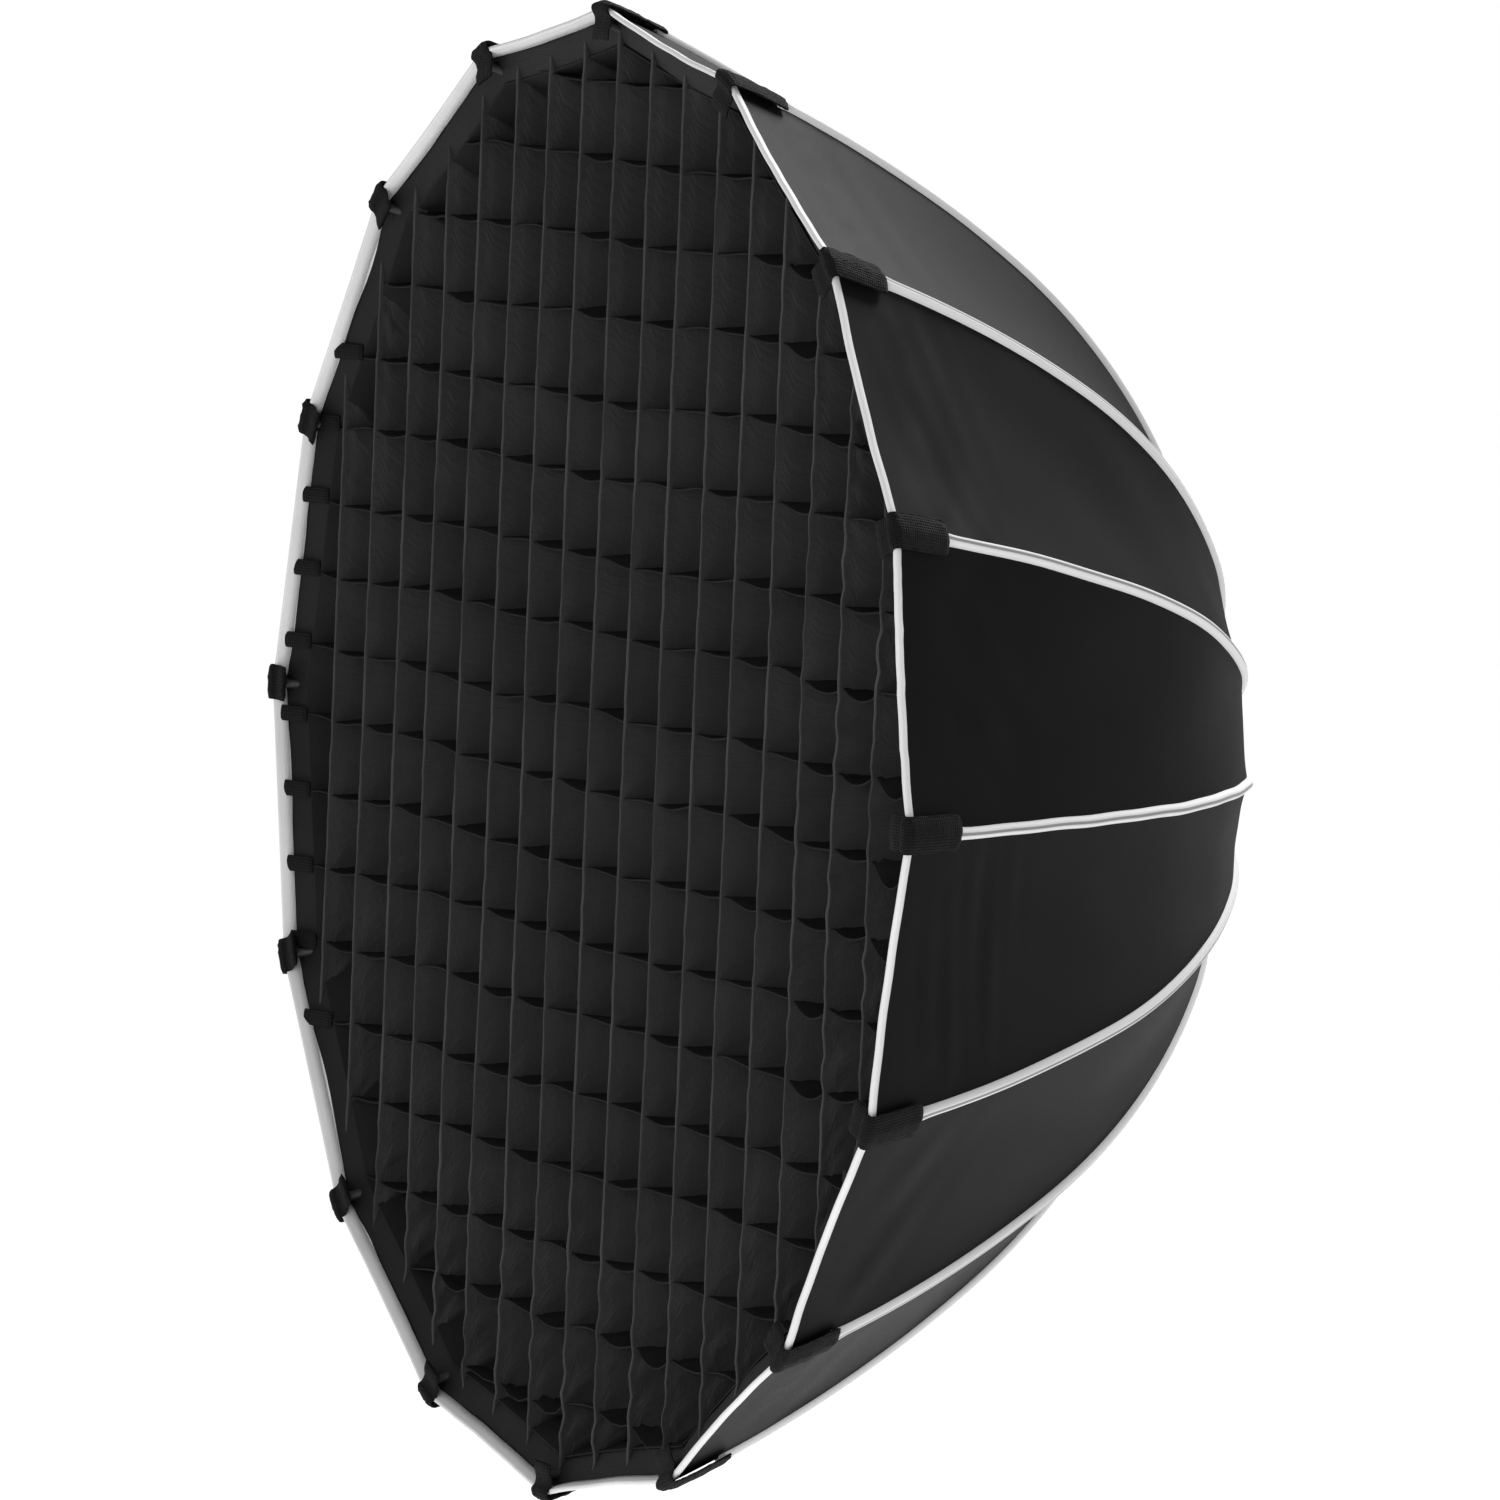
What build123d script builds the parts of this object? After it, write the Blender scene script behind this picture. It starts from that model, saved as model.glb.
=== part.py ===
"""Sixteen-rib folding octabox: hub with hinged ribs, fabric shell, two diffusers and a fabric grid.

The origin is the centre of the mount's rear face. +Y points back at the lamp, -Y out of the open
front, and +Z is up, with one rib straight up.
"""
from build123d import *
import os
from math import cos, degrees, radians, sin, tan

# Shell: the seam over each rib, as bends drawn in a plane of radius and depth behind the rim
RIB_COUNT = 16
RIM_RADIUS = 450.0
SEAM_HEADING = 111.6
SEAM_BENDS = ((1067.0, 12.7), (554.0, 22.7), (224.0, 19.0))
SEAM_TAIL = 34.0
FABRIC = 1.5
SEAM_GAP = 1.0
GORE_TAIL = 18.0

# Ribs: spring rods in hinged holders
ROD_RADIUS = 3.0
ROD_INSET = 8.0
ROD_TIP_GAP = 6.0
HOLDER_WIDTH = 10.0
HOLDER_HEIGHT = 9.0
HOLDER_REACH = 32.0
SOCKET_START = 8.0
FIT_GAP = 0.05
PIN_RADIUS = 1.5
PIN_LENGTH = 22.0

# Hub: two housing halves that meet at the hinge pins
THROAT_RADIUS = 50.0
HUB_RADIUS = 94.0
HUB_FLANGE_RADIUS = 106.0
HUB_FLANGE = 3.0
HALF_DEPTH = 9.0
SLOT_GAP = 0.4
SCREW_CIRCLE = 64.0
SCREW_COUNT = 8
SCREW_RADIUS = 2.0
SCREW_HOLE_RADIUS = 2.1
SCREW_HEAD_RADIUS = 3.8
SCREW_HEAD = 2.4

# Mount: flange, collar and three bayonet lugs
FLANGE_RADIUS = 82.0
FLANGE = 5.0
BORE_RADIUS = 48.5
COLLAR_RADIUS = 54.0
COLLAR = 12.0
LUG_RADIUS = 59.5
LUG = 3.0
LUG_SETBACK = 8.0
LUG_ARC = 34.0
LUG_COUNT = 3

# Release ring and latch leaves in front of the hub
LEAF = 0.6
LEAF_WIDTH = 7.0
LEAF_INNER = 62.0
LEAF_OUTER = 77.0
RING_INNER = 54.0
RING_OUTER = 74.0
RING = 8.0
RING_GAP = 0.4
GRIP_COUNT = 32
GRIP_RADIUS = 2.0

# Diffusers and grid
INNER_DEPTH = 170.0
INNER_RADIUS = 290.0
INNER_CLOTH = 1.0
FRONT_DEPTH = 54.0
FRONT_CLOTH = 1.2
FRONT_LIP = 9.0
FRONT_LIP_WALL = 2.0
ROD_CLEARANCE = 6.5
GRID_DEPTH = 48.0
UPRIGHT_PITCH = 47.5
LEVEL_PITCH = 47.0
LEVEL_RAISE = 5.0
STRIP = 1.6
HEM = 2.0
HEM_INSET = 4.0
TAB_WIDTH = 22.0
TAB_LENGTH = 42.0
TAB = 1.5
TAB_LIFT = 0.8
TAB_BRIDGE = 1.5
TAB_LAP = 14.0

RIB_STEP = 360.0 / RIB_COUNT
HALF_STEP = radians(RIB_STEP / 2)
RIB_ANGLES = [90.0 + RIB_STEP * index for index in range(RIB_COUNT)]


def along(heading):
    """Unit step in the radius and depth plane."""
    return Vector(cos(radians(heading)), sin(radians(heading)))


def flat(point):
    """Plane coordinates of a point, as a line builder places them on its own plane."""
    return (point.X, point.Y)


def seam_start(inset):
    """Rim end of the seam, moved towards the inside of the bowl."""
    return Vector(RIM_RADIUS, 0) + along(SEAM_HEADING + 90) * inset


def seam_arcs(inset):
    """Start, heading, radius and turn of each bend of the seam, and where its straight tail begins."""
    start, heading, arcs = seam_start(inset), SEAM_HEADING, []
    for radius, turn in SEAM_BENDS:
        centre = start + along(heading + 90) * (radius - inset)
        arcs.append((start, heading, radius - inset, turn))
        heading += turn
        start = centre - along(heading + 90) * (radius - inset)
    return arcs, start, heading


def draw_bends(arcs):
    """Add the seam's bends to the line that is being drawn."""
    for start, heading, radius, turn in arcs:
        JernArc(start=flat(start), tangent=flat(along(heading)), radius=radius, arc_size=turn)


def seam_radius(depth):
    """Radius of the seam at a depth within its first bend."""
    (start, heading, radius, turn), *rest = seam_arcs(0)[0]
    centre = start + along(heading + 90) * radius
    return centre.X + (radius**2 - (depth - centre.Y) ** 2) ** 0.5


TAIL_START, TAIL_HEADING = seam_arcs(ROD_INSET)[1:]
HINGE = TAIL_START + along(TAIL_HEADING) * SEAM_TAIL
HINGE_RADIUS = HINGE.X
HINGE_Y = -FLANGE - HALF_DEPTH
RIM_Y = HINGE_Y - HINGE.Y
HUB_FRONT_Y = HINGE_Y - HALF_DEPTH


def rib_plane(angle):
    """Plane of one rib: its X is outwards, its Y is back along the axis from the rim."""
    outwards = (cos(radians(angle)), 0, sin(radians(angle)))
    sideways = (-sin(radians(angle)), 0, cos(radians(angle)))
    return Plane(origin=(0, RIM_Y, 0), x_dir=outwards, z_dir=sideways)


def axis_plane(y):
    """Plane across the axis at y, facing back, with its Y up."""
    return Plane(origin=(0, y, 0), x_dir=(-1, 0, 0), z_dir=(0, 1, 0))


def rim_polygon_radius(inset):
    """Corner radius of a sixteen-sided outline whose flats stand inside the rim's by an inset."""
    return RIM_RADIUS - inset / cos(HALF_STEP)


def save(part, name):
    """Label a finished piece and write it."""
    part.part.label = name
    export_step(part.part, f"parts/{name}.step")
    print(f"{name:18s} {part.part.volume / 1000:9.2f} cm3")


def make_rod(angle):
    """Spring rod that follows the seam and ends straight in its holder."""
    arcs, tail, heading = seam_arcs(ROD_INSET)
    first_start, first_heading, first_radius, first_turn = arcs[0]
    trim = degrees(ROD_TIP_GAP / first_radius)
    centre = first_start + along(first_heading + 90) * first_radius
    tip = centre - along(first_heading + trim + 90) * first_radius
    arcs[0] = (tip, first_heading + trim, first_radius, first_turn - trim)
    with BuildPart() as rod:
        with BuildLine(rib_plane(angle)) as path:
            draw_bends(arcs)
            Line(flat(tail), flat(tail + along(heading) * (SEAM_TAIL - SOCKET_START)))
        with BuildSketch(Plane(origin=path.line @ 0, z_dir=path.line % 0)):
            Circle(ROD_RADIUS)
        sweep(path=path.line)
    return rod


def make_holder(angle):
    """Hinged holder: an eye on the pin and a socket for the rod's end."""
    outwards = along(TAIL_HEADING + 180)
    upwards = along(TAIL_HEADING + 90)
    middle = HINGE + outwards * (HOLDER_REACH / 2)
    tilt = TAIL_HEADING - 180
    plane = rib_plane(angle)
    socket_mouth = HINGE + outwards * HOLDER_REACH
    socket_plane = Plane(
        origin=plane.from_local_coords(socket_mouth),
        z_dir=plane.from_local_coords(socket_mouth + outwards) - plane.from_local_coords(socket_mouth),
    )
    with BuildPart() as holder:
        with BuildSketch(plane):
            with Locations(flat(HINGE)):
                Circle(HOLDER_HEIGHT / 2)
            with Locations(Location(flat(middle), tilt)):
                Rectangle(HOLDER_REACH, HOLDER_HEIGHT)
        extrude(amount=HOLDER_WIDTH / 2, both=True)
        with BuildSketch(plane):
            with Locations(flat(HINGE)):
                Circle(PIN_RADIUS + FIT_GAP)
        extrude(amount=HOLDER_WIDTH, both=True, mode=Mode.SUBTRACT)
        with BuildSketch(socket_plane):
            Circle(ROD_RADIUS + FIT_GAP)
        extrude(amount=-(HOLDER_REACH - SOCKET_START), mode=Mode.SUBTRACT)
    return holder


def make_gore(angle):
    """Shell panel between a rib and the next one, straight across at every depth."""
    middle = radians(angle + RIB_STEP / 2)
    across = Vector(-sin(middle), 0, cos(middle))
    reach = 2 * RIM_RADIUS
    apex = SEAM_GAP / sin(HALF_STEP)
    half_width = (reach - apex) * tan(HALF_STEP)
    wedge_plane = Plane(origin=(0, RIM_Y, 0), x_dir=(cos(middle), 0, sin(middle)), z_dir=(0, 1, 0))
    outer_arcs, outer_tail, heading = seam_arcs(0)
    inner_arcs, inner_tail, heading = seam_arcs(FABRIC)
    tail = along(heading) * GORE_TAIL
    with BuildPart() as gore:
        with BuildSketch(rib_plane(angle)):
            with BuildLine():
                draw_bends(outer_arcs + inner_arcs)
                ends = (outer_tail, outer_tail + tail, inner_tail + tail, inner_tail)
                Polyline(*(flat(point) for point in ends))
                Line(flat(seam_start(0)), flat(seam_start(FABRIC)))
            make_face()
        extrude(amount=RIM_RADIUS, dir=across, both=True)
        with BuildSketch(wedge_plane):
            with BuildLine():
                Polyline((apex, 0), (reach, half_width), (reach, -half_width), close=True)
            make_face()
        extrude(amount=RIM_RADIUS, both=True, mode=Mode.INTERSECT)
    return gore


def make_housing(rear):
    """Half of the hub: the rear half closes the holder slots and carries the clamping flange."""
    low, high = (HINGE_Y, -FLANGE) if rear else (HUB_FRONT_Y, HINGE_Y)
    slot_floor = HINGE_Y + HOLDER_HEIGHT / 2 + SLOT_GAP if rear else HINGE_Y
    slot_inner = HINGE_RADIUS - HOLDER_HEIGHT / 2 - SLOT_GAP
    slot_length = HUB_FLANGE_RADIUS - slot_inner
    with BuildPart() as housing:
        with BuildSketch(axis_plane(low)):
            Circle(HUB_RADIUS)
        extrude(amount=high - low)
        if rear:
            with BuildSketch(axis_plane(high - HUB_FLANGE)):
                Circle(HUB_FLANGE_RADIUS)
            extrude(amount=HUB_FLANGE)
        with BuildSketch(axis_plane(low)):
            with PolarLocations(slot_inner + slot_length / 2, RIB_COUNT, start_angle=90):
                Rectangle(slot_length, HOLDER_WIDTH + 2 * SLOT_GAP)
        extrude(amount=slot_floor - low if rear else high - low, mode=Mode.SUBTRACT)
        with BuildSketch(axis_plane(low)):
            Circle(THROAT_RADIUS)
            with PolarLocations(SCREW_CIRCLE, SCREW_COUNT, start_angle=90 + RIB_STEP / 2):
                Circle(SCREW_HOLE_RADIUS)
        extrude(amount=high - low, mode=Mode.SUBTRACT)
        for angle in RIB_ANGLES:
            with BuildSketch(rib_plane(angle)):
                with Locations(flat(HINGE)):
                    Circle(PIN_RADIUS + FIT_GAP)
            extrude(amount=PIN_LENGTH / 2 + FIT_GAP, both=True, mode=Mode.SUBTRACT)
    return housing


def make_pins():
    """Hinge pins, one across each holder slot."""
    with BuildPart() as pins:
        for angle in RIB_ANGLES:
            with BuildSketch(rib_plane(angle)):
                with Locations(flat(HINGE)):
                    Circle(PIN_RADIUS)
            extrude(amount=PIN_LENGTH / 2, both=True)
    return pins


def make_screws():
    """Cap screws that clamp the mount and both housing halves together."""
    head_floor = -SCREW_HEAD
    with BuildPart() as screws:
        with BuildSketch(axis_plane(HUB_FRONT_Y + LEAF)):
            with PolarLocations(SCREW_CIRCLE, SCREW_COUNT, start_angle=90 + RIB_STEP / 2):
                Circle(SCREW_RADIUS)
        extrude(amount=head_floor - HUB_FRONT_Y - LEAF)
        with BuildSketch(axis_plane(head_floor)):
            with PolarLocations(SCREW_CIRCLE, SCREW_COUNT, start_angle=90 + RIB_STEP / 2):
                Circle(SCREW_HEAD_RADIUS)
                RegularPolygon(SCREW_RADIUS, 6, mode=Mode.SUBTRACT)
        extrude(amount=SCREW_HEAD - SLOT_GAP)
    return screws


def make_mount():
    """Mount insert: flange, collar through the lamp's opening and three bayonet lugs."""
    head_room = SCREW_HEAD + SLOT_GAP / 2
    with BuildPart() as mount:
        with BuildSketch(axis_plane(-FLANGE)):
            Circle(FLANGE_RADIUS)
        extrude(amount=FLANGE)
        with BuildSketch(axis_plane(0)):
            Circle(COLLAR_RADIUS)
        extrude(amount=COLLAR)
        with BuildSketch(axis_plane(LUG_SETBACK)):
            for index in range(LUG_COUNT):
                middle = 90 + index * 360 / LUG_COUNT
                with BuildLine():
                    lug_arc = CenterArc((0, 0), LUG_RADIUS, middle - LUG_ARC / 2, LUG_ARC)
                    Polyline(lug_arc @ 1, (0, 0), lug_arc @ 0)
                make_face()
        extrude(amount=LUG)
        with BuildSketch(axis_plane(-FLANGE)):
            Circle(BORE_RADIUS)
            with PolarLocations(SCREW_CIRCLE, SCREW_COUNT, start_angle=90 + RIB_STEP / 2):
                Circle(SCREW_HOLE_RADIUS)
        extrude(amount=FLANGE + COLLAR, mode=Mode.SUBTRACT)
        with BuildSketch(axis_plane(-head_room)):
            with PolarLocations(SCREW_CIRCLE, SCREW_COUNT, start_angle=90 + RIB_STEP / 2):
                Circle(SCREW_HEAD_RADIUS + SLOT_GAP / 2)
        extrude(amount=head_room, mode=Mode.SUBTRACT)
    return mount


def make_leaves():
    """Latch leaves: flat springs on the hub's front whose ends reach over the holder slots."""
    length = LEAF_OUTER - LEAF_INNER
    with BuildPart() as leaves:
        with BuildSketch(axis_plane(HUB_FRONT_Y - LEAF)):
            with PolarLocations((LEAF_INNER + LEAF_OUTER) / 2, RIB_COUNT, start_angle=90):
                Rectangle(length, LEAF_WIDTH)
        extrude(amount=LEAF)
    return leaves


def make_release_ring():
    """Ribbed ring in front of the latch leaves that lifts them when it is turned."""
    with BuildPart() as ring:
        with BuildSketch(axis_plane(HUB_FRONT_Y - LEAF - RING_GAP - RING)):
            Circle(RING_OUTER)
            Circle(RING_INNER, mode=Mode.SUBTRACT)
            with PolarLocations(RING_OUTER, GRIP_COUNT):
                Circle(GRIP_RADIUS, mode=Mode.SUBTRACT)
        extrude(amount=RING)
    return ring


def make_inner_diffuser():
    """Inner diffuser cloth, stretched flat across the bowl."""
    with BuildPart() as cloth:
        with BuildSketch(axis_plane(RIM_Y + INNER_DEPTH)):
            RegularPolygon(INNER_RADIUS, RIB_COUNT, rotation=90)
        extrude(amount=INNER_CLOTH)
    return cloth


def make_front_diffuser():
    """Front diffuser cloth with a deeper edge band that fastens inside the shell."""
    radius = seam_radius(FRONT_DEPTH + FRONT_LIP) - ROD_INSET - ROD_RADIUS - ROD_CLEARANCE
    with BuildPart() as cloth:
        with BuildSketch(axis_plane(RIM_Y + FRONT_DEPTH)):
            RegularPolygon(radius, RIB_COUNT, rotation=90)
        extrude(amount=FRONT_CLOTH)
        with BuildSketch(axis_plane(RIM_Y + FRONT_DEPTH)):
            RegularPolygon(radius, RIB_COUNT, rotation=90)
            RegularPolygon(radius - FRONT_LIP_WALL, RIB_COUNT, rotation=90, mode=Mode.SUBTRACT)
        extrude(amount=FRONT_LIP)
    return cloth


def make_grid():
    """Fabric grid: upright and level strips in a sixteen-sided band, with a flat hem at the rim."""
    radius = seam_radius(GRID_DEPTH) - ROD_INSET - ROD_RADIUS - ROD_CLEARANCE
    upright_count = 2 * int(radius / UPRIGHT_PITCH) + 1
    level_count = 2 * round(radius / LEVEL_PITCH)
    with BuildPart() as grid:
        with BuildSketch(axis_plane(RIM_Y)):
            with GridLocations(UPRIGHT_PITCH, 0, upright_count, 1):
                Rectangle(STRIP, 2 * radius)
            with Locations((0, LEVEL_RAISE)):
                with GridLocations(0, LEVEL_PITCH, 1, level_count):
                    Rectangle(2 * radius, STRIP)
            RegularPolygon(radius, RIB_COUNT, rotation=90, mode=Mode.INTERSECT)
        extrude(amount=GRID_DEPTH)
        with BuildSketch(axis_plane(RIM_Y)):
            RegularPolygon(radius, RIB_COUNT, rotation=90)
            RegularPolygon(radius - STRIP, RIB_COUNT, rotation=90, mode=Mode.SUBTRACT)
        extrude(amount=GRID_DEPTH)
        with BuildSketch(axis_plane(RIM_Y - HEM / 2)):
            RegularPolygon(rim_polygon_radius(HEM_INSET), RIB_COUNT, rotation=90)
            RegularPolygon(radius - STRIP, RIB_COUNT, rotation=90, mode=Mode.SUBTRACT)
        extrude(amount=HEM)
    return grid


def make_tabs():
    """Fastening tabs: each is sewn to the hem, turns round the rim and lies on the seam."""
    outwards = along(SEAM_HEADING - 90)
    back = along(SEAM_HEADING)
    low = seam_start(0) + outwards * TAB_LIFT
    high = low + outwards * TAB
    front = -HEM / 2
    end = back * TAB_LENGTH
    low_front = low + back * ((front - low.Y) / back.Y)
    high_front = high + back * ((front - TAB_BRIDGE - high.Y) / back.Y)
    lap = rim_polygon_radius(HEM_INSET) - TAB_LAP
    outer_leg = [flat(point) for point in (high_front, high + end, low + end, low_front)]
    outline = [(lap, front), (lap, front - TAB_BRIDGE)] + outer_leg
    with BuildPart() as tabs:
        for angle in RIB_ANGLES:
            with BuildSketch(rib_plane(angle)):
                with BuildLine():
                    Polyline(*outline, close=True)
                make_face()
            extrude(amount=TAB_WIDTH / 2, both=True)
    return tabs


print(f"hinge radius {HINGE_RADIUS:.3f}, hinge y {HINGE_Y:.3f}, rim y {RIM_Y:.3f}")
for number, rib_angle in enumerate(RIB_ANGLES, start=1):
    save(make_rod(rib_angle), f"rod_{number:02d}")
    save(make_holder(rib_angle), f"rod_holder_{number:02d}")
    save(make_gore(rib_angle), f"gore_{number:02d}")
save(make_housing(rear=False), "hub_front")
save(make_housing(rear=True), "hub_rear")
save(make_pins(), "hinge_pins")
save(make_screws(), "hub_screws")
save(make_mount(), "mount_insert")
save(make_leaves(), "latch_leaves")
save(make_release_ring(), "release_ring")
save(make_inner_diffuser(), "inner_diffuser")
save(make_front_diffuser(), "front_diffuser")
save(make_grid(), "grid")
save(make_tabs(), "grid_tabs")
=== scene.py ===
"""Folding octabox with sixteen ribs: fabric shell, light binding, two diffusers and a fabric grid.

Everything is in metres in the CAD frame: -Y out of the open front, +Y back to the lamp, +Z up.
"""
import math

import bpy
import numpy as np
from mathutils import Matrix, Vector


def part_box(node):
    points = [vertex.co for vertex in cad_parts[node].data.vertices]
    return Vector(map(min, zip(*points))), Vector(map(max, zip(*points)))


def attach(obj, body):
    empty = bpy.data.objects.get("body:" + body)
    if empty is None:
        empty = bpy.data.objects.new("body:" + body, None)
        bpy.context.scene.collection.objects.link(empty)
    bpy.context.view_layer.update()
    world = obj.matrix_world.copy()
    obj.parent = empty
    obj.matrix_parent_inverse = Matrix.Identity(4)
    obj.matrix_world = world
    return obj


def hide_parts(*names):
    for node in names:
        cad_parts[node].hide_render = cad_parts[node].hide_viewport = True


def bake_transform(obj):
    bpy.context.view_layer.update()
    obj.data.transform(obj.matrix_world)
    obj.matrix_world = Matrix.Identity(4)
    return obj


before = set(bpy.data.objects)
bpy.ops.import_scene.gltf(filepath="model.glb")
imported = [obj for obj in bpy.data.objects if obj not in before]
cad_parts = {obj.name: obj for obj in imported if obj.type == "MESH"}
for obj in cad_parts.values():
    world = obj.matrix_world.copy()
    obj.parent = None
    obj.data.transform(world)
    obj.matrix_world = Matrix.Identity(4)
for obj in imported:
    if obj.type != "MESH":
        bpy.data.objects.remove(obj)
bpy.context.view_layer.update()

MM = 0.001

# The seam over each rib, as part.py draws it: bends of a radius and a turn from the rim to a straight tail
RIB_COUNT = 16
RIM_RADIUS = 0.45
SEAM_HEADING = math.radians(111.6)
SEAM_BENDS = ((1.067, math.radians(12.7)), (0.554, math.radians(22.7)), (0.224, math.radians(19.0)))
SEAM_TAIL = 0.022
RIM_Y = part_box("gore_01")[0].y
STEP = 2 * math.pi / RIB_COUNT
HALF = STEP / 2
RIB_ANGLES = [math.pi / 2 + STEP * index for index in range(RIB_COUNT)]

# Shell cloth, its tapes and the grid's tabs
SHELL_THICK = 1.2 * MM
HOLLOW = 5.0 * MM
HOLLOW_GROWS_OVER = 0.2
BLEND_MIDDLE_RADIUS = 0.3
BLEND_MIDDLE_DEPTH = 0.2
SEWN_LINE = 0.046
BINDING_OUT = 3.6 * MM
BINDING_IN = 7.5 * MM
PIPING_START = 0.037
PIPING_HALF = 3.6 * MM
TAPE_BACK = -0.9 * MM
TAB_END = 0.041
TAB_HALF = 11.0 * MM

# Grid
UPRIGHT_PITCH = 47.5 * MM
LEVEL_PITCH = 47.0 * MM
LEVEL_RAISE = 5.0 * MM
GRID_FRONT = 9.0 * MM
GRID_DEPTH = 46.0 * MM
GRID_OUTER = 0.428
GRID_TAPER = 16.0 * MM
HEM_WIDTH = 18.5 * MM
HEM_SETBACK = 5.0 * MM
HEM_TILT = 7.5 * MM
RIBBON_THICK = 1.0 * MM
RIBBON_FOLD = 1.1 * MM
LEVEL_SETBACK = 2.5 * MM
LEVEL_FOLD = 0.6 * MM
UPRIGHT_PLACES = range(-8, 9)
LEVEL_PLACES = range(-9, 9)
LOOP_PLACES = range(-5, 5)
BAND_WEAVE_STEP = 0.0105
HEM_WEAVE_STEP = 0.0125
HEM_WEAVE_WIDTH = 0.017

# Diffusers
FRONT_CORNER = 0.405
FRONT_BULGE = 2.0 * MM
FRONT_LIP = 6.0 * MM
INNER_CORNER = 0.288
INNER_BULGE = 1.5 * MM
INNER_LIP = 5.0 * MM
DIFFUSER_THICK = 0.7 * MM
STRAP_START = 0.282
STRAP_LENGTH = 0.058
STRAP_HALF = 6.0 * MM
STRAP_THICK = 1.2 * MM

# Camera, floor and lights
AIM_OFFSET = (0.050, 0.093, 0.008)
CAMERA_AZIMUTH = math.radians(-26.16)
CAMERA_ELEVATION = math.radians(5.39)
CAMERA_ROLL = math.radians(2.47)
CAMERA_DISTANCE = 7.045
CAMERA_LENS = 281.1
CAMERA_SENSOR = 36.0
CAMERA_FAR = 200.0
FLOOR_HALF = 160.0
FLOOR_LEVEL = -1.3
FLOOR_GLOW = 0.62
WORLD_STRENGTH = 0.45
KEY_PLACE, KEY_SIZE, KEY_POWER = (2.9, -2.7, 0.5), (1.6, 1.6), 60.0
REAR_PLACE, REAR_SIZE, REAR_POWER = (-1.2, 2.2, 2.6), (2.2, 1.2), 190.0

RNG = np.random.default_rng(16)


# ---------------------------------------------------------------- geometry helpers


def seam_table(steps=60):
    """Distance, radius, depth and heading along the seam, sampled on its bends and its tail."""
    rows, heading = [(0.0, RIM_RADIUS, 0.0, SEAM_HEADING)], SEAM_HEADING
    distance, radius, depth = 0.0, RIM_RADIUS, 0.0
    for bend, turn in SEAM_BENDS:
        centre = (radius - bend * math.sin(heading), depth + bend * math.cos(heading))
        for index in range(1, steps + 1):
            now = heading + turn * index / steps
            at = distance + bend * turn * index / steps
            rows.append((at, centre[0] + bend * math.sin(now), centre[1] - bend * math.cos(now), now))
        distance, radius, depth, heading = rows[-1]
    tail = (radius + SEAM_TAIL * math.cos(heading), depth + SEAM_TAIL * math.sin(heading))
    rows.append((distance + SEAM_TAIL, *tail, heading))
    return np.array(rows).T


SEAM = seam_table()
SEAM_END = SEAM[0][-1]


def seam(distance, lift=0.0):
    """Radius and y of the seam at a distance from the rim, moved outwards by a lift."""
    distance = np.asarray(distance, float)
    heading = np.interp(distance, SEAM[0], SEAM[3])
    before = np.minimum(distance, 0)
    radius = np.interp(distance, SEAM[0], SEAM[1]) + before * math.cos(SEAM_HEADING)
    depth = np.interp(distance, SEAM[0], SEAM[2]) + before * math.sin(SEAM_HEADING)
    return radius + lift * np.sin(heading), RIM_Y + depth - lift * np.cos(heading)


def outwards(angle):
    """Unit vector from the centre line towards a rib."""
    return np.array([math.cos(angle), 0.0, math.sin(angle)])


def sideways(angle):
    """Unit vector across a rib, towards the next one."""
    return np.array([-math.sin(angle), 0.0, math.cos(angle)])


def in_rib_plane(angle, radius, y, across=0.0):
    """Points from a radius and y in the plane of a rib, moved across it."""
    radius, y, across = np.broadcast_arrays(radius, y, across)
    flat = radius[..., None] * outwards(angle) + across[..., None] * sideways(angle)
    return flat + y[..., None] * np.array([0.0, 1.0, 0.0])


def panel_points(index, share, distance, lift=0.0):
    """Points of a shell panel, hollow between its ribs: share is -1 on its own rib and 1 on the next."""
    share, distance, lift = np.broadcast_arrays(share, distance, lift)
    middle = RIB_ANGLES[index] + HALF
    width = seam(distance)[0] / RIM_RADIUS
    grown = 0.5 + 0.5 * np.clip(distance / HOLLOW_GROWS_OVER, 0, 1)
    sink = HOLLOW * width * (1 - share**2) * grown
    radius, y = seam(distance, lift - sink)
    across = radius * math.sin(HALF) * share
    return in_rib_plane(middle, radius * math.cos(HALF), y, across)


def sheet_faces(rows, columns, wrap=False):
    """Quads of a grid of points, joined round its columns if it wraps."""
    faces = []
    for row in range(rows - 1):
        for column in range(columns if wrap else columns - 1):
            following = (column + 1) % columns
            low, high = row * columns, (row + 1) * columns
            faces.append((low + column, low + following, high + following, high + column))
    return faces


def capped_faces(stations, around):
    """Faces of a tube of rings, with a cap at each end."""
    faces = sheet_faces(stations, around, wrap=True)
    faces.append(tuple(range(around - 1, -1, -1)))
    faces.append(tuple(range((stations - 1) * around, stations * around)))
    return faces


def looped_faces(stations, around):
    """Faces of a tube of rings whose last ring joins its first."""
    faces = sheet_faces(stations, around, wrap=True)
    last = (stations - 1) * around
    faces += [(last + c, last + (c + 1) % around, (c + 1) % around, c) for c in range(around)]
    return faces


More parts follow.
